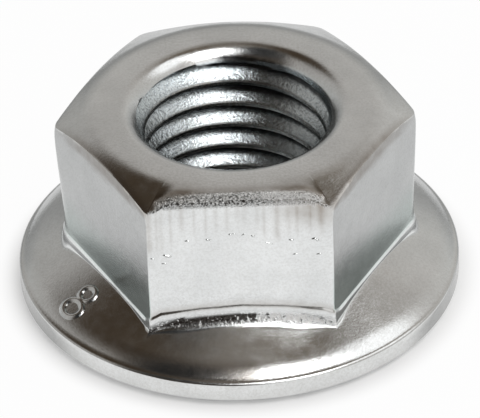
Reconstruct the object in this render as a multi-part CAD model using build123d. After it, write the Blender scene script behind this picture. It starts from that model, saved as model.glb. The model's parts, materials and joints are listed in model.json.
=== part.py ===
from build123d import *
import math
import os

# Serrated flange nut of thread size M16 x 2. Millimetres, +Z up along the thread axis.
# The origin lies on that axis, in the plane of the bearing face under the flange.
# Two flats of the hexagon face -Y and +Y, and two of its corners lie on the X axis.

# Thread: the bore is modelled at the thread's minor diameter, where its crests stand
thread_diameter = 16.0
thread_pitch = 2.0

# Hexagon and its top
across_flats = 24.0
nut_height = 15.8
hexagon_corner_radius = 0.3
top_face_diameter = 22.8
corner_chamfer_angle = 24.5

# Flange: a flat cone with a rounded edge
flange_diameter = 34.0
flange_edge_height = 2.35
flange_edge_radius = 0.3
flange_slope_angle = 23.5
underside_edge_height = 0.6
underside_edge_width = 0.9

# Foot: a flared band that carries the hexagon into the flange. Its rise is counted from the
# cone under the middle of a flat, and its spread is the part it takes of the free flange
# outside a corner of the hexagon.
foot_rise = 0.6
foot_corner_spread_share = 0.15
foot_blend_radius = 0.6

# Mouths of the bore
top_mouth_diameter = 17.3
top_mouth_slope = 45.0
bottom_mouth_diameter = 17.6
bottom_mouth_slope = 30.0

# Serrations: radial ratchet teeth, cut up into the bearing face around a smooth inner ring.
# Their depth and their flat crests are given at the flange's outer diameter, and both shrink
# towards the axis, so that each ramp is a plane.
serration_count = 28
serration_depth = 0.5
serration_crest_width = 0.4
bearing_ring_width = 1.7

# Overrun of a cutting tool past the surface that it cuts
tool_overrun = 0.5

# Derived sizes
thread_fundamental_height = thread_pitch * math.sqrt(3) / 2
bore_radius = thread_diameter / 2 - 0.625 * thread_fundamental_height
flange_radius = flange_diameter / 2
hexagon_side_count = 6
corner_distance = across_flats / math.sqrt(3)
serration_inner_radius = bottom_mouth_diameter / 2 + bearing_ring_width


def slope(angle):
    """Rise per unit run of a line at this angle, in degrees."""
    return math.tan(math.radians(angle))


def flange_height_at(radius):
    """Height of the flange's cone at this distance from the axis."""
    return flange_edge_height + (flange_radius - radius) * slope(flange_slope_angle)


def profile(*points):
    """A closed face in the XZ plane, its points given as (radius, height)."""
    return Plane.XZ * make_face(Polyline(*points, close=True))


def hexagon_outline():
    """Regular hexagon with eased corners."""
    outline = RegularPolygon(across_flats / 2, hexagon_side_count, major_radius=False)
    return fillet(outline.vertices(), hexagon_corner_radius)


def make_hexagon():
    """Hexagonal prism, its top corners cut by the cone around the top face."""
    prism = extrude(hexagon_outline(), nut_height)
    face_radius = top_face_diameter / 2
    reach = corner_distance + tool_overrun
    envelope = revolve(
        profile(
            (0, 0),
            (reach, 0),
            (reach, nut_height - (reach - face_radius) * slope(corner_chamfer_angle)),
            (face_radius, nut_height),
            (0, nut_height),
        )
    )
    return prism & envelope


def make_flange():
    """Conical flange with a rounded upper edge and an eased lower one."""
    outline = profile(
        (0, 0),
        (flange_radius - underside_edge_width, 0),
        (flange_radius, underside_edge_height),
        (flange_radius, flange_edge_height),
        (0, flange_height_at(0)),
    )
    upper_edge = outline.vertices().sort_by_distance((flange_radius, 0, flange_edge_height))[0]
    return revolve(fillet(upper_edge, flange_edge_radius))


def make_foot():
    """Band that widens downward from the hexagon's faces and ends inside the flange."""
    top_height = flange_height_at(across_flats / 2) + foot_rise
    corner_spread = foot_corner_spread_share * (flange_radius - corner_distance)
    flat_spread = corner_spread * across_flats / (2 * corner_distance)
    drop = top_height - flange_height_at(corner_distance + corner_spread)
    flare_angle = math.degrees(math.atan(flat_spread / drop))
    outline = Pos(Z=top_height) * hexagon_outline()
    return extrude(outline, flange_edge_height - top_height, taper=-flare_angle)


def make_blank():
    """Solid nut before its bore and teeth, blended where the foot meets the flange."""
    blank = make_hexagon() + make_flange() + make_foot()
    cone = blank.faces().filter_by(GeomType.CONE).sort_by(SortBy.AREA)[-1]
    rim_and_seam = (GeomType.CIRCLE, GeomType.LINE)
    foot_edges = [edge for edge in cone.edges() if edge.geom_type not in rim_and_seam]
    return fillet(foot_edges, foot_blend_radius)


def make_bore_tool():
    """Tool that opens the bore and dishes both of its mouths."""
    top_radius = top_mouth_diameter / 2
    bottom_radius = bottom_mouth_diameter / 2
    top_depth = (top_radius - bore_radius) * slope(top_mouth_slope)
    bottom_depth = (bottom_radius - bore_radius) * slope(bottom_mouth_slope)
    outline = profile(
        (0, -tool_overrun),
        (bottom_radius, -tool_overrun),
        (bottom_radius, 0),
        (bore_radius, bottom_depth),
        (bore_radius, nut_height - top_depth),
        (top_radius, nut_height),
        (top_radius, nut_height + tool_overrun),
        (0, nut_height + tool_overrun),
    )
    return revolve(outline)


def make_serration_tools():
    """Ratchet grooves around the bearing face.

    The wall and the ramp of a groove meet in a root line, which rises outward from the axis.
    """
    pitch = math.pi * flange_diameter / serration_count
    ramp_slope = serration_depth / (pitch - serration_crest_width)
    root_slope = serration_depth / flange_radius
    height = serration_depth + tool_overrun
    section = make_face(Polyline((0, 0), (0, -height), (height / ramp_slope, -height), close=True))
    root_start = (serration_inner_radius, 0, serration_inner_radius * root_slope)
    start = Plane(origin=root_start, x_dir=(0, 1, 0), z_dir=(1, 0, 0))
    groove = extrude(start * section, flange_radius, dir=(1, 0, root_slope))
    return PolarLocations(0, serration_count) * groove


def make_flange_nut():
    """The whole nut."""
    nut = make_blank() - make_bore_tool()
    return nut - make_serration_tools()


os.makedirs("parts", exist_ok=True)
flange_nut = make_flange_nut()
flange_nut.label = "flange_nut"
export_step(flange_nut, "parts/flange_nut.step")
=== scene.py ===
import json
import math

import bmesh
import bpy
import numpy as np
from mathutils import Matrix, Vector


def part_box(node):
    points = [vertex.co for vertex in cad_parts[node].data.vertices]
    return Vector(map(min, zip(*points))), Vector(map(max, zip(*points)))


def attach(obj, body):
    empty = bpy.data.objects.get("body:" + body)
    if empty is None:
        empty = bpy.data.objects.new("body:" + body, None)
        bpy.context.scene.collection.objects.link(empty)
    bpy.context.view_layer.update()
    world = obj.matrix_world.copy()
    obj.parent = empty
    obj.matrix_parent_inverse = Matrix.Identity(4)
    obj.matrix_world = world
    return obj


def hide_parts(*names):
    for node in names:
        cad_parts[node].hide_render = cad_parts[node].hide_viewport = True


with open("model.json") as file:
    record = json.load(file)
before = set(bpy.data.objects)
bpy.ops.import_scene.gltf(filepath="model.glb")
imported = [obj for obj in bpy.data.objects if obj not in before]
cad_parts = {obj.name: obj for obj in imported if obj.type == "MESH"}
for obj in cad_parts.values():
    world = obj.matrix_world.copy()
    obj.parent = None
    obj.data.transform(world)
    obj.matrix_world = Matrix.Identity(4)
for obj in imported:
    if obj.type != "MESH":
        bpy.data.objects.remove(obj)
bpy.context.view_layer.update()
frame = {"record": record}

# The looks of a serrated flange nut, bright zinc plate on cold-formed steel.
# Lengths are millimetres until a mesh is written, and heights are counted from the bearing face.
# Azimuths are degrees around the thread axis, from +X towards +Y. The camera looks along +Y and
# down.
MM = 0.001

# Sizes that the frame gives. The inset keeps the rim inside the solid's box.
high_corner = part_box("flange_nut")[1] / MM
thread_mount = next(m for m in frame["record"]["mounts"] if m["name"] == "thread")
NUT_HEIGHT = high_corner.z
FLANGE_INSET = 0.008
FLANGE_RADIUS = high_corner.y - FLANGE_INSET
CREST_RADIUS = thread_mount["dims"]["r_mm"]

# Hexagon, with its front flat in the middle of the photograph
FLAT_DISTANCE = 12.0
FRONT_AZIMUTH = 270
CORNER_ROUNDING = 0.3
LEFT_WAIST_ROUNDING = 3.3
RIGHT_WAIST_ROUNDING = 2.0
BACK_WAIST_ROUNDING = 1.5
TOP_CORNER_ROUNDING = 1.0
TOP_ROUNDING_START = 13.6
TOP_ROUNDING_WIDTH = 1.2
WAIST_TOP = 14.4
WAIST_BOTTOM = 5.0

# Thread M16 x 2. The rows of its mesh are given as shares of the pitch from a groove's middle.
PITCH = 2.0
ROOT_RADIUS = 8.0
GROOVE_AZIMUTH = 95.0
GROOVE_HEIGHT = 6.2
THREAD_ROWS = (-0.02, 0.02, 0.36, 0.39, 0.47, 0.5, 0.56, 0.92)
UPPER_FLANK = 0.48
LOWER_FLANK = 0.34
ROOT_FLAT = 0.02
CREST_EASE = 0.05
CREST_EASE_WIDTH = 0.03

# Mouths of the bore
MOUTH_RADIUS = 8.75
MOUTH_DEPTH = 0.85
THROAT_RADIUS = 7.4
THROAT_TAPER = 0.35
HELIX_TOP = 13.9
COUNTERSINK_RADIUS = 8.8
COUNTERSINK_SLOPE = math.tan(math.radians(30))
HELIX_BOTTOM = (COUNTERSINK_RADIUS - ROOT_RADIUS) * COUNTERSINK_SLOPE

# Top: a slightly crowned ring, a bend and a chamfer down to the hexagon's edge. On the front flat
# the edge stays high, droops at its ends, and the chamfer gives way to a rounding in its middle.
CROWN_RADIUS = 9.0
CROWN_BEND = 1.5
CROWN_SLOPE = 0.07
CHAMFER_RADIUS = 10.5
CHAMFER_BEND = 1.2
CHAMFER_SLOPE = 0.386
FRONT_EDGE_HEIGHT = 15.46
FRONT_CORNER_DROP = 0.75
FRONT_DROOP_START = 5.1
FRONT_DROOP_WIDTH = 1.7
FRONT_CHAMFER_START = 1.0
FRONT_CHAMFER_WIDTH = 5.8
FRONT_ROUNDING = 0.8
TOP_EDGE_EASE = 0.06

# Foot: a lip under each flat, blended into the flange, with heights of its crease by azimuth
FOOT_HEIGHTS = {
    0: 5.0, 60: 4.8, 120: 4.8, 180: 5.3, 210: 4.9, 237: 4.5, 243: 5.45, 255: 5.8,
    270: 6.0, 285: 5.8, 297: 5.4, 303: 4.75, 330: 4.9, 360: 5.0,
}
LIP_HEIGHT = 0.66
LIP_SPREAD = 0.12
LIP_CORNER_SPREAD = 0.06
LIP_STEP = 0.55
LIP_SLANT = 0.3
LIP_EDGE_HEIGHT = 0.04
FOOT_BLEND_MIN = 0.06
FOOT_BLEND_MAX = 1.3
FOOT_CORNER_LOSS = 0.95
FOOT_CORNER_ANGLE = 12

# Flange
EDGE_HEIGHT = 2.19
EDGE_RADIUS = 0.3
EDGE_ARC_ANGLE = 60
CONE_SLOPE = math.tan(math.radians(25.5))
SHOULDER_WIDTH = 1.5
SHOULDER_DROP = 0.3
LOWER_EDGE_HEIGHT = 0.6
LOWER_EDGE_WIDTH = 0.9
RIM_HEIGHTS = (1.5, 1.1, LOWER_EDGE_HEIGHT + 0.12, LOWER_EDGE_HEIGHT)

# Serrations
TOOTH_COUNT = 28
TOOTH_PITCH = 360 / TOOTH_COUNT
TOOTH_DEPTH = 0.5
TOOTH_CREST_WIDTH = 0.4
TOOTH_RAMP = TOOTH_PITCH - math.degrees(TOOTH_CREST_WIDTH / FLANGE_RADIUS)
TOOTH_WALL = 0.08
TOOTH_INNER_RADIUS = 10.5

# Columns of the mesh in degrees: steps around the nut and over the front flat, distances from a
# corner, and the least distance between two columns
COLUMN_STEP = 1.0
FRONT_STEP = 0.5
FRONT_HALF = 28
CORNER_STEPS = (0.12, 0.28, 0.45, 0.65, 0.85, 1.2, 1.6)
COLUMN_GAP = 0.05

# Unevenness of the skin: wavelengths, depths of the broad and the fine part, and how far the skin
# lies below its true place so that it stays inside the solid's box
BROAD_WAVELENGTH = 9.0
FINE_WAVELENGTH = 2.6
TOP_RELIEF = (0.005, 0.0012)
SIDE_RELIEF = (0.008, 0.0015)
TOP_SINK = 0.02
SIDE_SINK = 0.012
BROAD_SEED = 3
FINE_SEED = 5

# Flutes that the forming die left on the front flat:
# place along the flat, height of the lower end, half width, depth
DIE_MARKS = (
    (-6.6, 10.36, 0.35, 0.05), (-5.55, 10.5, 0.6, 0.08), (-3.98, 12.0, 0.55, 0.05),
    (-2.25, 11.95, 0.55, 0.05), (-0.59, 12.5, 0.6, 0.035), (0.94, 12.15, 0.55, 0.04),
    (2.3, 11.4, 0.6, 0.035), (3.95, 11.63, 0.55, 0.06), (5.75, 11.55, 0.55, 0.07),
)
MARK_END_WIDTH = 0.12
MARK_TOP_SHARE = 0.35
MARK_FADE_TOP = 15.3
MARK_FADE_WIDTH = 4
MARK_REACH = 6.95
MARK_REACH_WIDTH = 0.3


def smooth(value):
    """Zero below 0, one above 1, and an even S between."""
    share = np.clip(value, 0, 1)
    return share * share * (3 - 2 * share)


def rising(value, start, width):
    """Zero up to the start, and one from a width beyond it."""
    return smooth((value - start) / width)


def falling(value, end, width):
    """Zero from the end on, and one up to a width before it."""
    return smooth((end - value) / width)


def bend(distance, width):
    """Run on the far side of a bend: an arc over its width, and a straight line beyond."""
    inside = np.clip(distance, 0, width)
    return inside * inside / (2 * width) + np.maximum(distance - width, 0)


def ripple(points, wavelength, seed, count=28):
    """Smooth random relief of about unit height, from many plane waves of about this wavelength."""
    random = np.random.default_rng(seed)
    directions = random.normal(size=(count, 3))
    directions /= np.linalg.norm(directions, axis=1)[:, None]
    lengths = wavelength * random.uniform(0.7, 1.6, count)
    phases = random.uniform(0, 2 * math.pi, count)
    relief = np.zeros(points.shape[:-1])
    for direction, length, phase in zip(directions, lengths, phases):
        relief += np.sin(points @ direction * (2 * math.pi / length) + phase)
    return relief / math.sqrt(count)


# ---------------------------------------------------------------- shape of the nut

def column_azimuths():
    """Azimuths of the mesh's columns, closest at the corners, the front flat and the tooth walls."""
    front_start, front_end = FRONT_AZIMUTH - FRONT_HALF, FRONT_AZIMUTH + FRONT_HALF
    around = [np.arange(0, 361, COLUMN_STEP), np.arange(front_start, front_end + 0.01, FRONT_STEP)]
    for corner in range(0, 361, 60):
        for step in CORNER_STEPS:
            around.append(np.array([corner - step, corner + step]))
    teeth = np.arange(TOOTH_COUNT) * TOOTH_PITCH
    around += [teeth + TOOTH_WALL / 2, teeth - TOOTH_WALL / 2, teeth + TOOTH_RAMP]
    azimuths = np.unique(np.round(np.concatenate(around), 4))
    azimuths = azimuths[(azimuths >= 0) & (azimuths <= 360)]
    keep = np.concatenate([[True], np.diff(azimuths) > COLUMN_GAP])
    keep[-1] = True
    return azimuths[keep]


def corner_rounding(azimuth, height):
    """Radius of the hexagon's vertical corners: two of them wane towards the foot."""
    waist = falling(height, WAIST_TOP, WAIST_TOP - WAIST_BOTTOM)
    corner = np.round(azimuth / 60) % 6
    low = np.select(
        [corner == 3, corner == 0, (corner == 1) | (corner == 2)],
        [LEFT_WAIST_ROUNDING, RIGHT_WAIST_ROUNDING, BACK_WAIST_ROUNDING],
        CORNER_ROUNDING,
    )
    top = rising(height, TOP_ROUNDING_START, TOP_ROUNDING_WIDTH)
    rounding = CORNER_ROUNDING + (low - CORNER_ROUNDING) * waist
    return rounding + (TOP_CORNER_ROUNDING - CORNER_ROUNDING) * top


def hexagon_radius(azimuth, rounding):
    """Distance from the axis to the hexagon with rounded corners."""
    from_flat = (azimuth % 60) - 30
    from_corner = np.radians(30 - np.abs(from_flat))
    centre = (FLAT_DISTANCE - rounding) / math.cos(math.radians(30))
    flat = FLAT_DISTANCE / np.cos(np.radians(from_flat))
    arc_start = np.arctan((FLAT_DISTANCE - rounding) * math.tan(math.radians(30)) / FLAT_DISTANCE)
    inside = np.maximum(rounding**2 - (centre * np.sin(from_corner)) ** 2, 0)
    arc = centre * np.cos(from_corner) + np.sqrt(inside)
    return np.where(np.abs(np.radians(from_flat)) < arc_start, flat, arc)


def top_drop(radius):
    """How far the crowned and chamfered top lies below the nut's height."""
    crown = CROWN_SLOPE * bend(radius - CROWN_RADIUS, CROWN_BEND)
    return crown + CHAMFER_SLOPE * bend(radius - CHAMFER_RADIUS, CHAMFER_BEND)


def along_front(azimuth):
    """Distance along the front flat from its middle, and whether the azimuth is on that flat."""
    angle = azimuth - FRONT_AZIMUTH
    on_front = np.abs(angle) < 30
    return FLAT_DISTANCE * np.tan(np.radians(np.clip(angle, -30, 30))), on_front


def cone_height(radius):
    """Height of the flange's cone, which bends down over its shoulder."""
    inward = FLANGE_RADIUS - radius
    shoulder = SHOULDER_DROP * np.clip(1 - inward / SHOULDER_WIDTH, 0, 1) ** 2
    return EDGE_HEIGHT + inward * CONE_SLOPE - shoulder


def thread_radius(azimuth, height):
    """Distance from the axis to the right-hand internal thread."""
    turns = (height - GROOVE_HEIGHT) / PITCH - (azimuth - GROOVE_AZIMUTH) / 360
    above_groove = turns - np.round(turns)
    width = np.where(above_groove < 0, UPPER_FLANK, LOWER_FLANK)
    flank = np.clip((np.abs(above_groove) - ROOT_FLAT) / width, 0, 1)
    from_crest = (above_groove % 1) - 0.5
    crest_ease = CREST_EASE * np.exp(-((from_crest / CREST_EASE_WIDTH) ** 2))
    return ROOT_RADIUS - flank * (ROOT_RADIUS - CREST_RADIUS) + crest_ease


def mouth_radius(height):
    """Distance from the axis to the upper mouth: a throat that opens in a round flare."""
    depth = NUT_HEIGHT - height
    share = np.sqrt(np.clip(depth / MOUTH_DEPTH, 0, 1))
    flare = THROAT_RADIUS + (MOUTH_RADIUS - THROAT_RADIUS) * (1 - share)
    return flare - THROAT_TAPER * np.maximum(depth - MOUTH_DEPTH, 0)


def level_row(azimuth, radius, height):
    """A row of one radius and one height all around."""
    return radius + 0 * azimuth, height + 0 * azimuth


def bore_radius(azimuth, height):
    """The thread where it is cut deeper than the mouths, and the mouths elsewhere."""
    countersink = COUNTERSINK_RADIUS - height / COUNTERSINK_SLOPE
    bore = np.maximum(thread_radius(azimuth, height), countersink)
    return np.maximum(bore, mouth_radius(height))


def bore_rows(azimuth):
    """Rows that follow the thread's helix, cut off level at both ends."""
    rows = []
    for turn in range(-4, 6):
        for share in THREAD_ROWS:
            height = GROOVE_HEIGHT + PITCH * (turn + share + (azimuth - GROOVE_AZIMUTH) / 360)
            if height.max() > HELIX_BOTTOM and height.min() < HELIX_TOP:
                height = np.clip(height, HELIX_BOTTOM, HELIX_TOP)
                rows.append((bore_radius(azimuth, height), height))
    return rows


def mouth_rows(azimuth):
    """Level rows up the throat and over the flare of the upper mouth."""
    rows = []
    throat = np.linspace(HELIX_TOP, NUT_HEIGHT - MOUTH_DEPTH, 6)[1:-1]
    flare = NUT_HEIGHT - MOUTH_DEPTH * np.linspace(1, 0.04, 12) ** 2
    for height in np.concatenate([throat, flare]):
        rows.append((bore_radius(azimuth, height), height + 0 * azimuth))
    return rows


def top_edge(azimuth):
    """Radius and height of the edge between the chamfer and the flats."""
    radius = hexagon_radius(azimuth, TOP_CORNER_ROUNDING)
    height = NUT_HEIGHT - top_drop(radius)
    along, on_front = along_front(azimuth)
    droop = rising(np.abs(along), FRONT_DROOP_START, FRONT_DROOP_WIDTH)
    front = FRONT_EDGE_HEIGHT - FRONT_CORNER_DROP * droop
    height = np.where(on_front, np.maximum(front, height), height)
    return radius, height


def top_rows(azimuth):
    """Rows from the mouth over the washer face and the chamfer to the eased top edge."""
    rows = []
    for radius in (8.9, 9.4, 9.9, 10.2, CHAMFER_RADIUS):
        rows.append(level_row(azimuth, radius, NUT_HEIGHT - top_drop(radius)))
    edge_radius, edge_height = top_edge(azimuth)
    along, on_front = along_front(azimuth)
    chamfered = rising(np.abs(along), FRONT_CHAMFER_START, FRONT_CHAMFER_WIDTH)
    chamfered = np.where(on_front, chamfered, 1)
    reach = edge_radius - CHAMFER_RADIUS
    crown_drop = CROWN_SLOPE * bend(edge_radius - CROWN_RADIUS, CROWN_BEND)
    chamfer_drop = NUT_HEIGHT - edge_height - crown_drop
    for share in (0.1, 0.2, 0.3, 0.4, 0.48, 0.56, 0.64, 0.72, 0.8, 0.87, 0.94):
        radius = CHAMFER_RADIUS + reach * share
        crown = CROWN_SLOPE * bend(radius - CROWN_RADIUS, CROWN_BEND)
        chamfer = bend(reach * share, CHAMFER_BEND) / bend(reach, CHAMFER_BEND)
        depth = radius * np.cos(np.radians(azimuth - FRONT_AZIMUTH))
        rounded = np.clip(1 - (FLAT_DISTANCE - depth) / FRONT_ROUNDING, 0, 1) ** 2
        chamfer = rounded + (chamfer - rounded) * chamfered
        rows.append((radius, NUT_HEIGHT - crown - chamfer_drop * chamfer))
    ease = TOP_EDGE_EASE
    rows.append((edge_radius - 0.3 * ease, edge_height - 0.15 * ease))
    rows.append((edge_radius - 0.05 * ease, edge_height - 0.6 * ease))
    return rows


def foot_height(azimuth):
    """Height of the crease where the flats turn out into the foot."""
    return np.interp(azimuth, list(FOOT_HEIGHTS), list(FOOT_HEIGHTS.values()))


def die_marks(along, height):
    """Depth of the shallow flutes that the forming die left on the front flat."""
    depth = np.zeros(np.broadcast(along, height).shape)
    for centre, end, half_width, mark in DIE_MARKS:
        across = np.clip(1 - ((along - centre) / half_width) ** 2, 0, 1)
        upward = np.clip((height - end) / MARK_END_WIDTH, 0, 1)
        fade = MARK_TOP_SHARE + (1 - MARK_TOP_SHARE) * falling(height, MARK_FADE_TOP, MARK_FADE_WIDTH)
        depth += mark * across * upward * fade
    return depth


def side_shares():
    """Shares of the way down a flat for its rows, closest where the die marks end."""
    upper = np.linspace(0.02, 0.28, 7)
    marks = np.linspace(0.3, 0.62, 15)
    lower = np.linspace(0.68, 1, 7)
    return np.concatenate([upper, marks, lower])


def side_rows(azimuth):
    """Rows down the flats."""
    rows = []
    top = top_edge(azimuth)[1] - TOP_EDGE_EASE
    foot = foot_height(azimuth)
    along, on_front = along_front(azimuth)
    for share in side_shares():
        height = top + (foot - top) * share
        radius = hexagon_radius(azimuth, corner_rounding(azimuth, height))
        marks = die_marks(along, height) * falling(np.abs(along), MARK_REACH, MARK_REACH_WIDTH)
        rows.append((radius - np.where(on_front, marks, 0), height))
    return rows


def foot_rows(azimuth):
    """Rows over the foot's lip and down the concave blend onto the cone."""
    crease = foot_height(azimuth)
    wall = hexagon_radius(azimuth, corner_rounding(azimuth, crease))
    from_corner = 30 - np.abs(azimuth % 60 - 30)
    near_corner = smooth(1 - from_corner / FOOT_CORNER_ANGLE)
    spread = LIP_SPREAD + LIP_CORNER_SPREAD * near_corner
    rows = []
    for share in (0.08, 0.17, 0.27, 0.37, 0.47, 0.58, 0.93):
        out = LIP_SLANT * share + (1 - LIP_SLANT) * smooth(share / LIP_STEP)
        rows.append((wall + spread * out, crease - LIP_HEIGHT * share))
    edge_radius, edge_height = wall + spread, crease - LIP_HEIGHT
    rows.append((edge_radius, edge_height))
    turn = math.pi / 2 - math.atan(CONE_SLOPE)
    rise_share = math.sin(turn) - CONE_SLOPE * (1 - math.cos(turn))
    rise = edge_height - LIP_EDGE_HEIGHT - cone_height(edge_radius)
    widest = FOOT_BLEND_MAX - FOOT_CORNER_LOSS * near_corner
    blend = np.clip(rise / rise_share, FOOT_BLEND_MIN, widest)
    blend_top = cone_height(edge_radius) + blend * rise_share
    for share in (0, 0.2, 0.35, 0.5, 0.62, 0.75, 0.88, 1):
        angle = turn * share
        radius = edge_radius + blend * (1 - np.cos(angle))
        rows.append((radius, blend_top - blend * np.sin(angle)))
    return rows


def flange_rows(azimuth):
    """Rows down the cone, over its shoulder, down the rim and round the lower edge."""
    start_radius = foot_rows(azimuth)[-1][0]
    rows = []
    shoulder = FLANGE_RADIUS - SHOULDER_WIDTH
    for share in (0.1, 0.25, 0.45, 0.65, 0.85, 1):
        radius = start_radius + (shoulder - start_radius) * share
        rows.append((radius, cone_height(radius)))
    arc_start = FLANGE_RADIUS - EDGE_RADIUS
    for radius in np.linspace(shoulder, arc_start, 7)[1:]:
        rows.append(level_row(azimuth, radius, cone_height(radius)))
    arc_height = cone_height(arc_start)
    first = math.radians(EDGE_ARC_ANGLE)
    for share in np.linspace(0.15, 1, 6):
        angle = first * (1 - share)
        outward = (math.cos(angle) - math.cos(first)) / (1 - math.cos(first))
        radius = arc_start + EDGE_RADIUS * outward
        height = arc_height - EDGE_RADIUS * (math.sin(first) - math.sin(angle))
        rows.append(level_row(azimuth, radius, height))
    for height in RIM_HEIGHTS:
        rows.append(level_row(azimuth, FLANGE_RADIUS, height))
    return rows


def tooth_height(azimuth, radius):
    """Height of the serrated underside: a wall up to the root, a ramp down, and a flat crest."""
    place = (azimuth + TOOTH_WALL / 2) % TOOTH_PITCH
    wall = np.clip(place / TOOTH_WALL, 0, 1)
    ramp = np.clip(1 - (place - TOOTH_WALL) / (TOOTH_RAMP - TOOTH_WALL / 2), 0, 1)
    return TOOTH_DEPTH * radius / FLANGE_RADIUS * np.minimum(wall, ramp)


def underside_rows(azimuth):
    """Rows inward over the lower edge, the teeth, the smooth ring and the countersink."""
    rows = []
    inner_edge = FLANGE_RADIUS - LOWER_EDGE_WIDTH
    for radius in (FLANGE_RADIUS - 0.1, FLANGE_RADIUS - 0.45, inner_edge):
        edge = (radius - inner_edge) / LOWER_EDGE_WIDTH * LOWER_EDGE_HEIGHT
        rows.append((radius + 0 * azimuth, np.maximum(edge, tooth_height(azimuth, radius))))
    for radius in (14.5, 12.5, TOOTH_INNER_RADIUS):
        rows.append((radius + 0 * azimuth, tooth_height(azimuth, radius)))
    for radius in (TOOTH_INNER_RADIUS - 0.02, COUNTERSINK_RADIUS):
        rows.append(level_row(azimuth, radius, 0))
    return rows


def surface_relief(points, radius, height):
    """Unevenness of the cold-formed and plated skin, as (outward, upward) moves."""
    broad = ripple(points, BROAD_WAVELENGTH, BROAD_SEED)
    fine = ripple(points, FINE_WAVELENGTH, FINE_SEED)
    outside = rising(radius - CREST_RADIUS, 1.2, 0.6)
    on_top = rising(height, 15.0, 0.4)
    on_cone = rising(radius, 12.6, 0.8) * falling(radius, FLANGE_RADIUS - 0.4, 0.6)
    on_cone *= rising(height, 2.0, 0.4)
    on_side = (1 - on_top) * (1 - on_cone) * rising(height, 3.2, 0.6)
    level_relief = TOP_RELIEF[0] * broad + TOP_RELIEF[1] * fine
    side_relief = SIDE_RELIEF[0] * broad + SIDE_RELIEF[1] * fine
    upward = outside * (on_top + on_cone) * level_relief - TOP_SINK * outside * on_top
    outward = outside * on_side * side_relief - SIDE_SINK * outside * on_side
    return outward, upward


def nut_surface():
    """Points of the whole skin as a grid (rows, columns, 3), closed on itself both ways."""
    azimuth = column_azimuths()
    sections = (
        bore_rows, mouth_rows, top_rows, side_rows, foot_rows, flange_rows, underside_rows,
    )
    rows = [row for section in sections for row in section(azimuth)]
    radius = np.array([row[0] for row in rows])
    height = np.array([row[1] for row in rows])
    turn = np.radians(np.where(azimuth == 360, 0, azimuth))
    points = np.stack([radius * np.cos(turn), radius * np.sin(turn), height], axis=-1)
    outward, upward = surface_relief(points, radius, height)
    points[..., 0] += outward * np.cos(turn)
    points[..., 1] += outward * np.sin(turn)
    points[..., 2] += upward
    return points


# ---------------------------------------------------------------- meshes

MERGE_DISTANCE = 2e-7
# Angles in degrees above which an edge is sharp
NUT_SHARP = 28
DETAIL_SHARP = 60


def grid_faces(row_count, column_count, wrap_rows):
    """Quads between neighbouring rows and columns of a grid of points."""
    last = row_count if wrap_rows else row_count - 1
    faces = []
    for row in range(last):
        above = (row + 1) % row_count
        for column in range(column_count - 1):
            faces.append((
                row * column_count + column,
                row * column_count + column + 1,
                above * column_count + column + 1,
                above * column_count + column,
            ))
    return faces


def make_mesh_object(name, points, faces, material, sharp_angle):
    """Mesh object from points in millimetres, with coincident points merged and smooth faces."""
    mesh = bpy.data.meshes.new(name)
    mesh.from_pydata((points.reshape(-1, 3) * MM).tolist(), [], faces)
    obj = bpy.data.objects.new(name, mesh)
    bpy.context.scene.collection.objects.link(obj)
    bm = bmesh.new()
    bm.from_mesh(mesh)
    bmesh.ops.remove_doubles(bm, verts=bm.verts, dist=MERGE_DISTANCE)
    bmesh.ops.dissolve_degenerate(bm, edges=bm.edges, dist=MERGE_DISTANCE)
    bmesh.ops.recalc_face_normals(bm, faces=bm.faces)
    bm.to_mesh(mesh)
    bm.free()
    mesh.shade_smooth()
    mesh.set_sharp_from_angle(angle=math.radians(sharp_angle))
    mesh.materials.append(material)
    return obj


def paint(mesh, name, values):
    """Stores one number per vertex, which the material reads by this name."""
    attribute = mesh.attributes.new(name, "FLOAT", "POINT")
    attribute.data.foreach_set("value", values.astype(np.float32))


# Zones of the painting, in millimetres
TAPPED_RADIUS = 8.3
TAPPED_TOP = 15.0
TORN_EDGE_DEPTH = 10.7
TORN_EDGE_HEIGHT = 14.9
TORN_EDGE_HALF = 7.1
TORN_FOOT_DROP = 1.0
TORN_FOOT_HALF = 7.4
SHOULDER_INNER = 15.2
SHOULDER_OUTER = 16.9
FACE_BOTTOM = 6.2
CROWN_HEIGHT = 14.6
TEAL_TOP = 9.5
FRONT_DEPTH = 8

# How torn the right of the flange's shoulder is, with white specks there that are partly a painted
# highlight
SCRATCHED_HIGHLIGHT = 0.07

# How dark the flecks are, darker at the left as painted shade: strength at the left, loss to the
# right, where that starts, and its width
EDGE_FLECKS = (0.34, 0.3, -1, 5)
FOOT_FLECKS = (1.15, 1.05, -2.5, 6)
LINE_FLECKS = (0.6, 0.35, 1, 4)

# How strongly the plate is painted brown, mostly as painted shade and painted reflection, with the
# seed of the lines along the flutes
CREST_PAINTED_REFLECTION = 0.85
RIM_PAINTED_SHADE = 0.16
SHOULDER_PAINTED_SHADE = 0.75
CROWN_PAINTED_SHADE = 0.4
CORNER_PAINTED_SHADE = 0.55
FOLD_PAINTED_SHADE = 0.42
EDGE_PAINTED_SHADE = 0.2
SIDE_PAINTED_SHADE = 0.75
FLUTE_CORNER_BROWN = 0.65
FLUTE_SEED = 8

# Azimuths of the flats left and right of the front one
SIDE_FLATS = (210, 330)


class Places:
    """Where a mesh's vertices lie, in millimetres and degrees, also as seen along the front flat."""

    def __init__(self, mesh):
        flat = np.zeros(len(mesh.vertices) * 3)
        mesh.vertices.foreach_get("co", flat)
        points = flat.reshape(-1, 3) / MM
        self.along, self.back, self.height = points[:, 0], points[:, 1], points[:, 2]
        self.depth = -points[:, 1]
        self.radius = np.hypot(points[:, 0], points[:, 1])
        self.azimuth = np.degrees(np.arctan2(points[:, 1], points[:, 0])) % 360
        self.on_front = (self.depth > FRONT_DEPTH) & (np.abs(self.azimuth - FRONT_AZIMUTH) < 30.5)
        on_flat = (np.abs(self.depth - FLAT_DISTANCE) < 0.25) & (self.height > FACE_BOTTOM)
        self.on_face = self.on_front & on_flat


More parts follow.
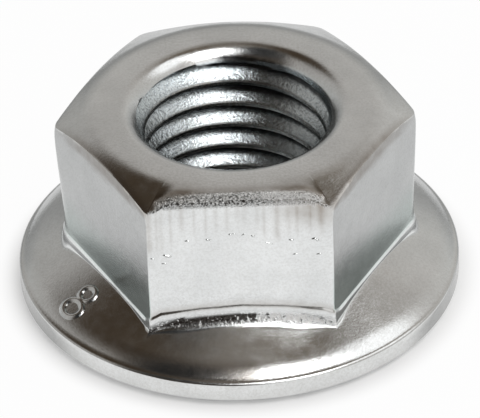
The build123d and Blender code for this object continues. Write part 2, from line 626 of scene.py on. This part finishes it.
def torn_edge(at):
    """Band along the front top edge that the die tore."""
    band = rising(at.depth, TORN_EDGE_DEPTH, 0.85) * rising(at.height, TORN_EDGE_HEIGHT, 0.2)
    return at.on_front * band * falling(np.abs(at.along), TORN_EDGE_HALF, 0.5)


def torn_foot(at):
    """Band under the lip of the front foot that the die tore."""
    below_lip = foot_height(at.azimuth) - LIP_HEIGHT - at.height
    band = rising(below_lip, 0.04, 0.06) * falling(below_lip, TORN_FOOT_DROP, 0.35)
    return at.on_front * band * falling(np.abs(at.along), TORN_FOOT_HALF, 0.3)


def flange_shoulder(at):
    """Shoulder of the flange above its rim."""
    band = rising(at.radius, SHOULDER_INNER, 0.5) * falling(at.radius, SHOULDER_OUTER, 0.15)
    return band * (at.height > RIM_HEIGHTS[0])


def fleck_darkness(at, strength, loss, start, width):
    """Darkness of the flecks as painted shade, which weakens towards the right."""
    return strength - loss * rising(at.along, start, width)


def paint_torn(mesh, at):
    """Where the skin is torn, and how dark its flecks are there: darkest at the left, as painted
    shade.
    """
    edge, foot = torn_edge(at), torn_foot(at)
    above_edge = at.height - top_edge(at.azimuth)[1]
    line = at.on_front * (at.depth > 11.9) * rising(above_edge, -0.12, 0.06)
    # White specks on the right of the shoulder, partly a painted highlight
    scratched_highlight = SCRATCHED_HIGHLIGHT * flange_shoulder(at)
    scratched_highlight = scratched_highlight * rising(at.along, 0.5, 1.5) * rising(at.depth, 6, 3)
    paint(mesh, "galled", np.maximum(np.maximum(edge, foot), np.maximum(line, scratched_highlight)))
    dark = np.where(line > 0, fleck_darkness(at, *LINE_FLECKS), fleck_darkness(at, *EDGE_FLECKS))
    dark = np.where(foot > edge, fleck_darkness(at, *FOOT_FLECKS), dark)
    paint(mesh, "fleck_shade", np.where(scratched_highlight > 0, 0, dark))


def paint_tints(mesh, at):
    """Where the skin is tapped, and where the side flats turn greenish and darker towards the foot: a
    greenish tint with painted shade.
    """
    paint(mesh, "tapped", tapped_skin(at))
    left, right = (np.abs(at.azimuth - flat) < 30 for flat in SIDE_FLATS)
    above_foot = rising(at.height - foot_height(at.azimuth), -0.3, 0.3)
    paint(mesh, "teal_and_shade", (left | right) * above_foot * falling(at.height, TEAL_TOP, 3.5))


def tapped_skin(at):
    """The thread's skin."""
    return falling(at.radius, TAPPED_RADIUS, 0.2) * falling(at.height, TAPPED_TOP, 0.3)


def flute_brown_lines(at):
    """Thin brown lines along both sides of the die's flutes, and a brown tone at the upper right."""
    stain_and_shade = np.zeros(len(at.along))
    random = np.random.default_rng(FLUTE_SEED)
    for centre, end, half_width, _ in DIE_MARKS:
        for side in (-1, 1):
            edge_line = centre + side * half_width * random.uniform(0.5, 1.1)
            line = np.exp(-(((at.along - edge_line) / random.uniform(0.08, 0.28)) ** 2))
            line *= rising(at.height, end, random.uniform(0.5, 2.5)) * random.uniform(0.12, 0.5)
            stain_and_shade = np.maximum(stain_and_shade, line)
    corner = rising(at.along, 1.5, 4) * rising(at.height, 12.2, 2.5)
    return stain_and_shade + FLUTE_CORNER_BROWN * corner


def front_painted_shade(at):
    """Painted shade: brown tone above the front edge, strongest at its ends, and along the foot's
    crease.
    """
    from_middle = np.abs(at.along)
    high = at.height > CROWN_HEIGHT
    crown = at.on_front * rising(at.depth, 10.2, 0.6) * falling(at.depth, 11.3, 0.3) * high
    stain_and_shade = crown * (CROWN_PAINTED_SHADE + 0.35 * rising(from_middle, 1.5, 3.5))
    corners = at.on_front * rising(at.depth, 9.2, 1.6) * falling(at.depth, 11.75, 0.3) * high
    stain_and_shade = stain_and_shade + CORNER_PAINTED_SHADE * corners * rising(from_middle, 1.9, 3.2)
    below_crease = foot_height(at.azimuth) - at.height
    fold = rising(below_crease, -0.12, 0.15) * falling(below_crease, 0.44, 0.15)
    stain_and_shade = stain_and_shade + FOLD_PAINTED_SHADE * fold * at.on_front * (at.depth > 11.5)
    towards_left = 1 - rising(at.along, -1, 5)
    return stain_and_shade + EDGE_PAINTED_SHADE * torn_edge(at) * towards_left * (1 - at.on_face)


def side_painted_shade(at, flat):
    """Painted shade: brown tone along the top of a side flat, which fades towards the back."""
    inward = FLAT_DISTANCE - at.radius * np.cos(np.radians(at.azimuth - flat))
    band = falling(inward, 0.75, 0.7) * (np.abs(at.azimuth - flat) < 30)
    band = band * rising(at.height, 14.0, 0.3) * falling(at.back, 1.5, 7)
    return SIDE_PAINTED_SHADE * band * rising(inward, -0.03, 0.02)


def paint_stain_and_shade(mesh, at):
    """Where the plate is painted brown: painted reflection on the crests, painted shade on the rim,
    the shoulder, the top and the front, and brown lines along the flutes.
    """
    # Painted reflection on the thread's crests; painted shade on the rim and on the left of the
    # flange's shoulder
    crest = CREST_PAINTED_REFLECTION * tapped_skin(at) * falling(at.radius, CREST_RADIUS + 0.16, 0.08)
    rim = RIM_PAINTED_SHADE * rising(at.radius, 16.7, 0.2)
    left_shoulder = flange_shoulder(at) * (at.back < 0)
    left_shoulder = left_shoulder * falling(at.along, 1.6, 1.2) * rising(at.along, -12, 5)
    stain_and_shade = crest + rim + SHOULDER_PAINTED_SHADE * left_shoulder + front_painted_shade(at)
    for flat in SIDE_FLATS:
        stain_and_shade = stain_and_shade + side_painted_shade(at, flat)
    paint(mesh, "stain_and_shade", np.clip(np.where(at.on_face, flute_brown_lines(at), stain_and_shade), 0, 1))


def paint_nut(mesh):
    """Stores where the skin is tapped, torn, tinted and stained, and where it carries painted shade,
    reflections and highlights.
    """
    at = Places(mesh)
    paint_tints(mesh, at)
    paint_torn(mesh, at)
    paint_stain_and_shade(mesh, at)


def make_nut(material):
    """The whole nut, with its thread, the marks of its making, and its painted stains, shade and
    reflections.
    """
    points = nut_surface()
    rows, columns = points.shape[:2]
    nut = make_mesh_object("nut_body", points, grid_faces(rows, columns, True), material, NUT_SHARP)
    paint_nut(nut.data)
    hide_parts("flange_nut")
    return nut


# Small burrs that the die threw up on the front flat:
# place along it, height, half length, half width, tilt in degrees
DIE_BURRS = (
    (-6.62, 10.42, 0.13, 0.035, -6), (-5.5, 10.62, 0.24, 0.06, -14), (-5.78, 9.96, 0.16, 0.03, 4),
    (-3.98, 11.98, 0.15, 0.03, 3), (-2.45, 12.0, 0.1, 0.045, -10), (-2.2, 11.98, 0.07, 0.03, -10),
    (-0.75, 12.45, 0.1, 0.04, 8), (-0.45, 12.5, 0.08, 0.03, -4), (0.25, 12.4, 0.12, 0.035, 30),
    (0.98, 12.22, 0.12, 0.055, -18), (2.2, 11.5, 0.24, 0.03, -20), (3.85, 11.72, 0.15, 0.035, -4),
    (4.12, 10.4, 0.16, 0.03, 3), (5.55, 11.75, 0.14, 0.04, 12), (5.8, 11.62, 0.12, 0.05, -30),
    (5.9, 10.34, 0.17, 0.045, 8),
)
# What their half sizes are multiplied by, how far they rise and how deep their middles lie
BURR_LENGTHEN = 1.45
BURR_WIDEN = 1.7
BURR_RAISE = 0.085
BURR_SINK = 0.035
BURR_RINGS = 7


def make_burrs(material):
    """Closed grains partly sunk in the flat, each a short streak of raised metal."""
    around = np.radians(np.arange(0, 361, 30))
    points, faces = [], []
    for index, (along, height, half_length, half_width, tilt) in enumerate(DIE_BURRS):
        tilt = math.radians(tilt)
        first = index * BURR_RINGS * len(around)
        for polar in np.linspace(0, math.pi, BURR_RINGS):
            lengthwise = BURR_LENGTHEN * half_length * math.cos(polar)
            across = BURR_WIDEN * half_width * math.sin(polar) * np.cos(around)
            out = BURR_RAISE * math.sin(polar) * np.sin(around)
            x = along + lengthwise * math.cos(tilt) - across * math.sin(tilt)
            z = height + lengthwise * math.sin(tilt) + across * math.cos(tilt)
            points.append(np.stack([x, -(FLAT_DISTANCE - BURR_SINK) - out, z], axis=-1))
        grain = grid_faces(BURR_RINGS, len(around), False)
        faces += [tuple(first + corner for corner in face) for face in grain]
    return make_mesh_object("die_burrs", np.stack(points), faces, material, DETAIL_SHARP)


# Raised number on the flange: a plain 8, its top towards the axis
NUMBER_AZIMUTH = 211.5
NUMBER_RADIUS = 14.5
NUMBER_HEIGHT = 3.0
NUMBER_STROKE = 0.36
NUMBER_RAISE = 0.14
NUMBER_SINK = 0.12
NUMBER_CELLS = 72
NUMBER_PATCH = 0.72
# How far its strokes run inside its outline sideways and upwards, and fade out, in stroke widths
STROKE_INSET_WIDE = 0.6
STROKE_INSET_HIGH = 0.45
STROKE_FADE = 1.25
# Its rings: below or above the middle, half height as a share of the number's, width over height
NUMBER_RINGS = ((-1, 0.275, 1.35), (1, 0.25, 1.2))


def number_relief(across, up):
    """Height of a soft raised 8 above the flange, below zero away from its strokes."""
    relief = np.full(across.shape, -NUMBER_SINK)
    for side, share, width_share in NUMBER_RINGS:
        half_height = NUMBER_HEIGHT * share
        middle = side * (NUMBER_HEIGHT / 2 - half_height)
        wide = half_height * width_share - NUMBER_STROKE * STROKE_INSET_WIDE
        high = half_height - NUMBER_STROKE * STROKE_INSET_HIGH
        ring = np.hypot(across / wide, (up - middle) / high) - 1
        off_line = np.abs(ring) * min(wide, high)
        away = smooth(off_line / (NUMBER_STROKE * STROKE_FADE))
        stroke = NUMBER_RAISE - (NUMBER_RAISE + NUMBER_SINK) * away
        relief = np.maximum(relief, stroke)
    return relief


def make_number(material):
    """A closed patch that lies just under the cone's surface and rises out of it along the strokes."""
    size = NUMBER_HEIGHT * NUMBER_PATCH
    line = np.linspace(-size, size, NUMBER_CELLS)
    across, up = np.meshgrid(line, line)
    turn = math.radians(NUMBER_AZIMUTH)
    outward = Vector((math.cos(turn), math.sin(turn)))
    sideways = Vector((-math.sin(turn), math.cos(turn)))
    distance = NUMBER_RADIUS - up
    x = outward.x * distance + sideways.x * across
    y = outward.y * distance + sideways.y * across
    surface = cone_height(np.hypot(x, y))
    top = np.stack([x, y, surface + number_relief(across, up)], axis=-1)
    bottom = np.stack([x, y, surface - 3 * NUMBER_SINK], axis=-1)
    count, under = NUMBER_CELLS, NUMBER_CELLS**2
    faces = grid_faces(count, count, False)
    faces += [tuple(under + corner for corner in reversed(face)) for face in faces]
    edge = list(range(count))
    edge += [row * count + count - 1 for row in range(1, count)]
    edge += range(under - 2, under - count - 1, -1)
    edge += [row * count for row in range(count - 2, 0, -1)]
    for start, end in zip(edge, edge[1:] + edge[:1]):
        faces.append((start, under + start, under + end, end))
    return make_mesh_object("raised_number", np.stack([top, bottom]), faces, material, DETAIL_SHARP)


# ---------------------------------------------------------------- shader nodes

class NodeGraph:
    """Nodes of one material or world. Each method adds what its name says and gives its output."""

    def __init__(self, owner, coordinates):
        owner.use_nodes = True
        self.nodes, self.links = owner.node_tree.nodes, owner.node_tree.links
        self.nodes.clear()
        self.place = self.nodes.new("ShaderNodeTexCoord").outputs[coordinates]
        apart = self.nodes.new("ShaderNodeSeparateXYZ")
        self.links.new(self.place, apart.inputs["Vector"])
        self.x, self.y, self.z = apart.outputs

    def feed(self, socket, value):
        """Links an output to a socket, or sets the socket to a number or a colour."""
        if isinstance(value, bpy.types.NodeSocket):
            self.links.new(value, socket)
        elif isinstance(value, tuple):
            socket.default_value = (*value, 1)
        else:
            socket.default_value = value

    def noise(self, scale, detail, roughness=0.55):
        node = self.nodes.new("ShaderNodeTexNoise")
        self.links.new(self.place, node.inputs["Vector"])
        self.feed(node.inputs["Scale"], scale)
        self.feed(node.inputs["Detail"], detail)
        self.feed(node.inputs["Roughness"], roughness)
        return node.outputs["Fac"]

    def painted(self, name):
        node = self.nodes.new("ShaderNodeAttribute")
        node.attribute_name = name
        return node.outputs["Fac"]

    def to_range(self, value, low, high, to_low, to_high, soft=False):
        node = self.nodes.new("ShaderNodeMapRange")
        if soft:
            node.interpolation_type = "SMOOTHSTEP"
        self.feed(node.inputs["Value"], value)
        self.feed(node.inputs["From Min"], low)
        self.feed(node.inputs["From Max"], high)
        self.feed(node.inputs["To Min"], to_low)
        self.feed(node.inputs["To Max"], to_high)
        return node.outputs["Result"]

    def mixed(self, factor, first, second):
        node = self.nodes.new("ShaderNodeMix")
        node.data_type = "RGBA"
        self.feed(node.inputs["Factor"], factor)
        self.feed(node.inputs["A"], first)
        self.feed(node.inputs["B"], second)
        return node.outputs["Result"]

    def combined(self, operation, first, second=0.0):
        node = self.nodes.new("ShaderNodeMath")
        node.operation = operation
        self.feed(node.inputs[0], first)
        self.feed(node.inputs[1], second)
        return node.outputs["Value"]

    def times(self, first, *others):
        for other in others:
            first = self.combined("MULTIPLY", first, other)
        return first

    def plus(self, first, second):
        return self.combined("ADD", first, second)

    def step(self, value, limits, to_low=0, to_high=1):
        """Goes from one number to another between two lengths in millimetres."""
        return self.to_range(value, limits[0] * MM, limits[1] * MM, to_low, to_high)

    def band(self, value, start, full, still_full, end):
        """One from full to still_full, and zero outside start and end, all in millimetres."""
        return self.times(self.step(value, (start, full)), self.step(value, (end, still_full)))

    def bump(self, height, depth, strength, below=None):
        """Relief of a depth in millimetres, on top of the relief below it."""
        node = self.nodes.new("ShaderNodeBump")
        self.feed(node.inputs["Distance"], depth * MM)
        self.feed(node.inputs["Strength"], strength)
        self.feed(node.inputs["Height"], height)
        if below:
            self.feed(node.inputs["Normal"], below)
        return node.outputs["Normal"]

    def end_in(self, kind, socket, value):
        """Adds the output node and links a value to it."""
        output = self.nodes.new(kind)
        self.links.new(value, output.inputs[socket])


# ---------------------------------------------------------------- zinc plate

PLATE_GREY = (0.73, 0.745, 0.745)
PLATE_PALE = (0.82, 0.835, 0.835)
TAPPED_BLUE = (0.72, 0.79, 0.82)
STAIN_AND_SHADE_BROWN = (0.30, 0.26, 0.22)
FLECK_SHADE_BLACK = (0.02, 0.016, 0.014)
BARE_AND_HIGHLIGHT_WHITE = (1.0, 1.0, 1.0)
FOOT_TEAL_AND_SHADE = (0.60, 0.69, 0.66)
SPECKLE_GREY = (0.28, 0.31, 0.34)
BORE_SHADE_BLACK = (0.02, 0.025, 0.03)
GRAIN_GREY = (0.42, 0.40, 0.37)
GRAZING_SHADE_BLACK = (0.0, 0.0, 0.0)

# Noise scales, per metre
CLOUD_SCALE = 260
BLOTCH_SCALE = 1100
COARSE_SCALE = 3000
GRAIN_SCALE = 5200
FINE_SCALE = 6500

# Heights between which the torn skin turns from the foot's coarse one into the top edge's finer one
SKIN_CHANGE = (13.9, 14.1)

# Painted shade in the bore: dark thread roots, and a dark painted reflection in a sector limited by X,
# Y, the radius and the heights of the throat and of the first turn. In millimetres; the tilts are
# shares of X, and ragged and waves say how far noise shifts the edges.
ROOT_SHADE = (7.84, 8.02)
BORE_SHADE_AXIS_TILT = 0.03
BORE_SHADE_RAGGED = 0.3
SECTOR_WAVES = 1.2
SECTOR_X = (-0.8, 0.2, 4.4, 6.4)
SECTOR_Y = (4.0, 5.0)
SECTOR_RADIUS = (8.6, 8.4)
SECTOR_TILT = 0.06
THROAT_LEVEL = (13.8, 14.1, 15.2, 15.4)
TURN_LEVEL = (11.7, 12.1, 13.2, 13.5)


def plain_colour(graph, cloud, blotch):
    """Mottled plate, bluish in the thread, and brown where it is stained or carries painted shade and
    reflections.
    """
    colour = graph.mixed(graph.to_range(cloud, 0.35, 0.65, 0, 1), PLATE_GREY, PLATE_PALE)
    colour = graph.mixed(graph.painted("tapped"), colour, TAPPED_BLUE)
    uneven = graph.to_range(blotch, 0.3, 0.7, 0.6, 1.0)
    return graph.mixed(graph.times(graph.painted("stain_and_shade"), uneven), colour, STAIN_AND_SHADE_BROWN)


def torn_skin(graph, coarse, fine):
    """Height of the torn skin, with a finer grain along the top edge."""
    above = graph.step(graph.z, SKIN_CHANGE, 0, 0.7)
    finer = graph.times(graph.combined("SUBTRACT", fine, coarse), above)
    return graph.plus(coarse, finer)


def torn_colour(graph, colour, skin):
    """The colour with black flecks, darkest at the left as painted shade, and bare white specks,
    partly a painted highlight, where the skin is torn; and the specks alone.
    """
    galled, darkness = graph.painted("galled"), graph.painted("fleck_shade")
    fleck_shade = graph.plus(skin, graph.times(darkness, 0.25))
    fleck_shade = graph.times(graph.to_range(fleck_shade, 0.62, 0.66, 0, 1), galled)
    colour = graph.mixed(fleck_shade, colour, FLECK_SHADE_BLACK)
    specks = graph.combined("SUBTRACT", skin, graph.to_range(darkness, 0, 0.45, 0.21, 0.05))
    specks = graph.times(graph.to_range(specks, 0.36, 0.33, 0, 1), galled)
    return graph.mixed(specks, colour, BARE_AND_HIGHLIGHT_WHITE), specks


def bore_painted_shade(graph, blotch, coarse):
    """Painted shade in the bore: the thread's dark roots, and a dark painted reflection over a sector
    of the upper turns.
    """
    square = graph.plus(graph.combined("POWER", graph.x, 2.0), graph.combined("POWER", graph.y, 2.0))
    from_axis = graph.combined("SQRT", square)
    from_axis = graph.plus(from_axis, graph.times(graph.x, BORE_SHADE_AXIS_TILT))
    ragged = graph.times(coarse, BORE_SHADE_RAGGED * MM)
    deep = graph.plus(from_axis, ragged)
    roots = graph.step(deep, ROOT_SHADE, 0, 0.93)
    roots = graph.times(roots, graph.painted("tapped"))
    wavy = graph.plus(graph.x, graph.times(blotch, SECTOR_WAVES * MM))
    sideways = graph.band(wavy, *SECTOR_X)
    behind = graph.step(graph.y, SECTOR_Y)
    inside = graph.step(from_axis, SECTOR_RADIUS)
    level = graph.plus(graph.z, graph.times(graph.x, SECTOR_TILT))
    level = graph.plus(level, ragged)
    throat, turn = graph.band(level, *THROAT_LEVEL), graph.band(level, *TURN_LEVEL)
    upper = graph.combined("MAXIMUM", throat, turn)
    sector = graph.times(sideways, behind, inside, upper)
    return graph.combined("MAXIMUM", roots, graph.times(sector, 0.9))


def skin_normal(graph, blotch, grain, skin, coarse):
    """Relief of the plate, from the broad mottling to the torn skin and the tapped bore."""
    normal = graph.bump(blotch, 0.02, 0.3)
    normal = graph.bump(grain, 0.01, 0.9, normal)
    depth = graph.step(graph.z, SKIN_CHANGE, 0.4, 1)
    normal = graph.bump(skin, 0.45, graph.times(graph.painted("galled"), depth), normal)
    return graph.bump(coarse, 0.2, graph.times(graph.painted("tapped"), 0.26), normal)


def make_zinc():
    """Bright zinc plate: a mottled mirror with a fine grain, torn places, stains, and painted shade,
    reflections and highlights, with painted shade in the thread's roots.
    """
    material = bpy.data.materials.new("zinc_plate")
    graph = NodeGraph(material, "Object")
    shader = graph.nodes.new("ShaderNodeBsdfPrincipled")
    graph.end_in("ShaderNodeOutputMaterial", "Surface", shader.outputs["BSDF"])
    cloud = graph.noise(CLOUD_SCALE, 4)
    blotch = graph.noise(BLOTCH_SCALE, 4)
    grain = graph.noise(GRAIN_SCALE, 5, 0.7)
    coarse = graph.noise(COARSE_SCALE, 4, 0.65)
    fine = graph.noise(FINE_SCALE, 3, 0.65)
    skin = torn_skin(graph, coarse, fine)
    colour = plain_colour(graph, cloud, blotch)
    colour, specks = torn_colour(graph, colour, skin)
    # Greenish tint with painted shade on the side flats towards the foot
    colour = graph.mixed(graph.times(graph.painted("teal_and_shade"), 0.75), colour, FOOT_TEAL_AND_SHADE)
    speckle = graph.times(graph.to_range(fine, 0.48, 0.62, 0, 0.6), graph.painted("tapped"))
    colour = graph.mixed(speckle, colour, SPECKLE_GREY)
    # Painted shade in the thread's roots, and a dark painted reflection in the upper bore
    colour = graph.mixed(bore_painted_shade(graph, blotch, coarse), colour, BORE_SHADE_BLACK)
    colour = graph.mixed(graph.to_range(grain, 0.42, 0.62, 0, 0.2), colour, GRAIN_GREY)
    # Painted shade: darker towards black where the surface is seen at a grazing angle
    facing = graph.nodes.new("ShaderNodeLayerWeight").outputs["Facing"]
    colour = graph.mixed(graph.to_range(facing, 0.46, 0.6, 0, 0.42), colour, GRAZING_SHADE_BLACK)
    roughness = graph.to_range(blotch, 0.35, 0.7, 0.13, 0.22)
    roughness = graph.plus(roughness, graph.times(graph.painted("tapped"), 0.04))
    graph.feed(shader.inputs["Base Color"], colour)
    graph.feed(shader.inputs["Metallic"], graph.combined("SUBTRACT", 1.0, specks))
    graph.feed(shader.inputs["Roughness"], roughness)
    graph.feed(shader.inputs["Normal"], skin_normal(graph, blotch, grain, skin, coarse))
    return material


# ---------------------------------------------------------------- studio

# Floor, in metres: it begins to glow at the inner distance and glows fully from the outer one on; the
# dim floor inside is a painted contact shadow
FLOOR_HALF = 0.6
FLOOR_LEVEL = -0.00002
FLOOR_GREY = (0.86, 0.86, 0.86)
FLOOR_GLOW = 0.97
SHADE_INNER = 0.0150
SHADE_OUTER = 0.0190


def seen_directly(graph):
    """One for camera, glossy and transmission rays, which all see the plain background."""
    rays = graph.nodes.new("ShaderNodeLightPath").outputs
    total = rays["Is Camera Ray"]
    for name in ("Is Glossy Ray", "Is Transmission Ray"):
        total = graph.combined("MAXIMUM", total, rays[name])
    return total


def floor_white():
    """White that glows away from the nut when it is seen directly, and else takes its shadow; its glow
    fades out near the nut as a painted contact shadow.
    """
    material = bpy.data.materials.new("floor_white")
    graph = NodeGraph(material, "Object")
    diffuse = graph.nodes.new("ShaderNodeBsdfDiffuse")
    graph.feed(diffuse.inputs["Color"], FLOOR_GREY)
    glow = graph.nodes.new("ShaderNodeEmission")
    distance = graph.nodes.new("ShaderNodeVectorMath")
    distance.operation = "LENGTH"
    graph.feed(distance.inputs[0], graph.place)
    far = distance.outputs["Value"]
    # Painted contact shadow: no glow under the nut, fading in around it
    away = graph.to_range(far, SHADE_INNER, SHADE_OUTER, 0, FLOOR_GLOW, soft=True)
    mix = graph.nodes.new("ShaderNodeMixShader")
    graph.feed(mix.inputs["Fac"], graph.times(seen_directly(graph), away))
    graph.feed(mix.inputs[1], diffuse.outputs["BSDF"])
    graph.feed(mix.inputs[2], glow.outputs["Emission"])
    graph.end_in("ShaderNodeOutputMaterial", "Surface", mix.outputs["Shader"])
    return material


def make_floor():
    """Plain white floor: it shows white, takes the nut's shadow, and doesn't glow under and near the
    nut, a painted contact shadow.
    """
    mesh = bpy.data.meshes.new("floor")
    corners = ((-1, -1), (1, -1), (1, 1), (-1, 1))
    points = [(x * FLOOR_HALF, y * FLOOR_HALF, FLOOR_LEVEL) for x, y in corners]
    mesh.from_pydata(points, [], [(0, 1, 2, 3)])
    mesh.materials.append(floor_white())
    floor = bpy.data.objects.new("floor", mesh)
    bpy.context.scene.collection.objects.link(floor)


# Studio walls by height of the direction from the nut, as (height, colour)
WALL_COLOURS = (
    (0.0, (0.50, 0.50, 0.49)), (0.18, (0.52, 0.52, 0.51)), (0.34, (0.50, 0.49, 0.47)),
    (0.62, (0.47, 0.45, 0.43)), (0.85, (0.27, 0.247, 0.222)), (1.0, (0.205, 0.182, 0.158)),
)
# Brightness of the walls at the left and the right, reached at this X of the direction
WALL_LEFT = 0.88
WALL_RIGHT = 1.18
WALL_SIDE = 0.5

# Parts of the studio by direction from the nut: direction, outer and inner angle in degrees, colour
STUDIO_PARTS = (
    ((-0.30, -0.78, 0.55), 48, 30, (0.055, 0.045, 0.036)),
    ((0.42, -0.82, 0.38), 24, 14, (1.1, 1.1, 1.1)),
    ((-0.40, 0.33, 0.86), 27, 10, (0.055, 0.040, 0.027)),
    ((0.30, 0.20, 0.93), 17, 6, (0.12, 0.095, 0.070)),
    ((-0.34, -0.30, 0.88), 22, 12, (0.03, 0.03, 0.03)),
    ((0.64, 0.02, 0.76), 19, 12, (1.25, 1.25, 1.25)),
    ((0.06, -0.46, 0.89), 12, 7, (1.3, 1.3, 1.3)),
)


def wall_colour(graph):
    """Colour of the walls by height, darker on the left and brighter on the right."""
    ramp = graph.nodes.new("ShaderNodeValToRGB")
    graph.feed(ramp.inputs["Fac"], graph.z)
    elements = ramp.color_ramp.elements
    while len(elements) < len(WALL_COLOURS):
        elements.new(0.5)
    for element, (position, colour) in zip(elements, WALL_COLOURS):
        element.position = position
        element.color = (*colour, 1)
    scaled = graph.nodes.new("ShaderNodeVectorMath")
    scaled.operation = "SCALE"
    graph.feed(scaled.inputs[0], ramp.outputs["Color"])
    side = graph.to_range(graph.x, -WALL_SIDE, WALL_SIDE, WALL_LEFT, WALL_RIGHT)
    graph.feed(scaled.inputs["Scale"], side)
    return scaled.outputs["Vector"]


def make_world():
    """Studio walls by height, with dark and bright fields in set directions."""
    world = bpy.data.worlds.new("studio")
    bpy.context.scene.world = world
    graph = NodeGraph(world, "Generated")
    colour = wall_colour(graph)
    for centre, outer, inner, part_colour in STUDIO_PARTS:
        towards = graph.nodes.new("ShaderNodeVectorMath")
        towards.operation = "DOT_PRODUCT"
        graph.feed(towards.inputs[0], graph.place)
        towards.inputs[1].default_value = Vector(centre).normalized()
        rim, core = math.cos(math.radians(outer)), math.cos(math.radians(inner))
        share = graph.to_range(towards.outputs["Value"], rim, core, 0, 1, soft=True)
        colour = graph.mixed(share, colour, part_colour)
    background = graph.nodes.new("ShaderNodeBackground")
    graph.feed(background.inputs["Color"], colour)
    graph.end_in("ShaderNodeOutputWorld", "Surface", background.outputs["Background"])


# Softbox, in metres and watts
LAMP_DIRECTION = Vector((0.29, -0.38, 0.88)).normalized()
LAMP_DISTANCE = 0.6
LAMP_LENGTHWISE = Vector((1, 0, 0))
LAMP_LENGTH = 0.27
LAMP_WIDTH = 0.26
LAMP_POWER = 1.05


def make_lamp():
    """Softbox over the right front, facing the nut."""
    light = bpy.data.lights.new("softbox", "AREA")
    light.shape = "RECTANGLE"
    light.size = LAMP_LENGTH
    light.size_y = LAMP_WIDTH
    light.energy = LAMP_POWER
    lamp = bpy.data.objects.new("softbox", light)
    bpy.context.scene.collection.objects.link(lamp)
    across = LAMP_DIRECTION.cross(LAMP_LENGTHWISE).normalized()
    along = across.cross(LAMP_DIRECTION)
    axes = Matrix((along, across, LAMP_DIRECTION)).transposed()
    lamp.matrix_world = Matrix.Translation(LAMP_DIRECTION * LAMP_DISTANCE) @ axes.to_4x4()


# ---------------------------------------------------------------- camera

# Solved from the photograph's hexagon and flange: places in millimetres, roll in degrees
CAMERA_PLACE = Vector((-3.375, -406.991, 304.083))
CAMERA_AIM = Vector((0.163, -1.526, 7.117))
CAMERA_ROLL = -1.838
LENS = 491.43
SENSOR_WIDTH = 36.0


def make_camera():
    """Camera at the photograph's viewing angle, far away and with a long lens."""
    camera_data = bpy.data.cameras.new("camera")
    camera_data.lens = LENS
    camera_data.sensor_fit = "HORIZONTAL"
    camera_data.sensor_width = SENSOR_WIDTH
    camera_data.clip_start = 0.01
    camera_data.clip_end = 10
    camera = bpy.data.objects.new("camera", camera_data)
    bpy.context.scene.collection.objects.link(camera)
    back = (CAMERA_PLACE - CAMERA_AIM).normalized()
    right = Vector((0, 0, 1)).cross(back).normalized()
    up = back.cross(right)
    axes = Matrix((right, up, back)).transposed()
    axes = Matrix.Rotation(math.radians(CAMERA_ROLL), 3, back) @ axes
    camera.matrix_world = Matrix.Translation(CAMERA_PLACE * MM) @ axes.to_4x4()
    bpy.context.scene.camera = camera


zinc = make_zinc()
for piece in (make_nut(zinc), make_number(zinc), make_burrs(zinc)):
    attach(piece, "root")
make_floor()
make_world()
make_lamp()
make_camera()
bpy.context.scene.view_settings.view_transform = "Standard"
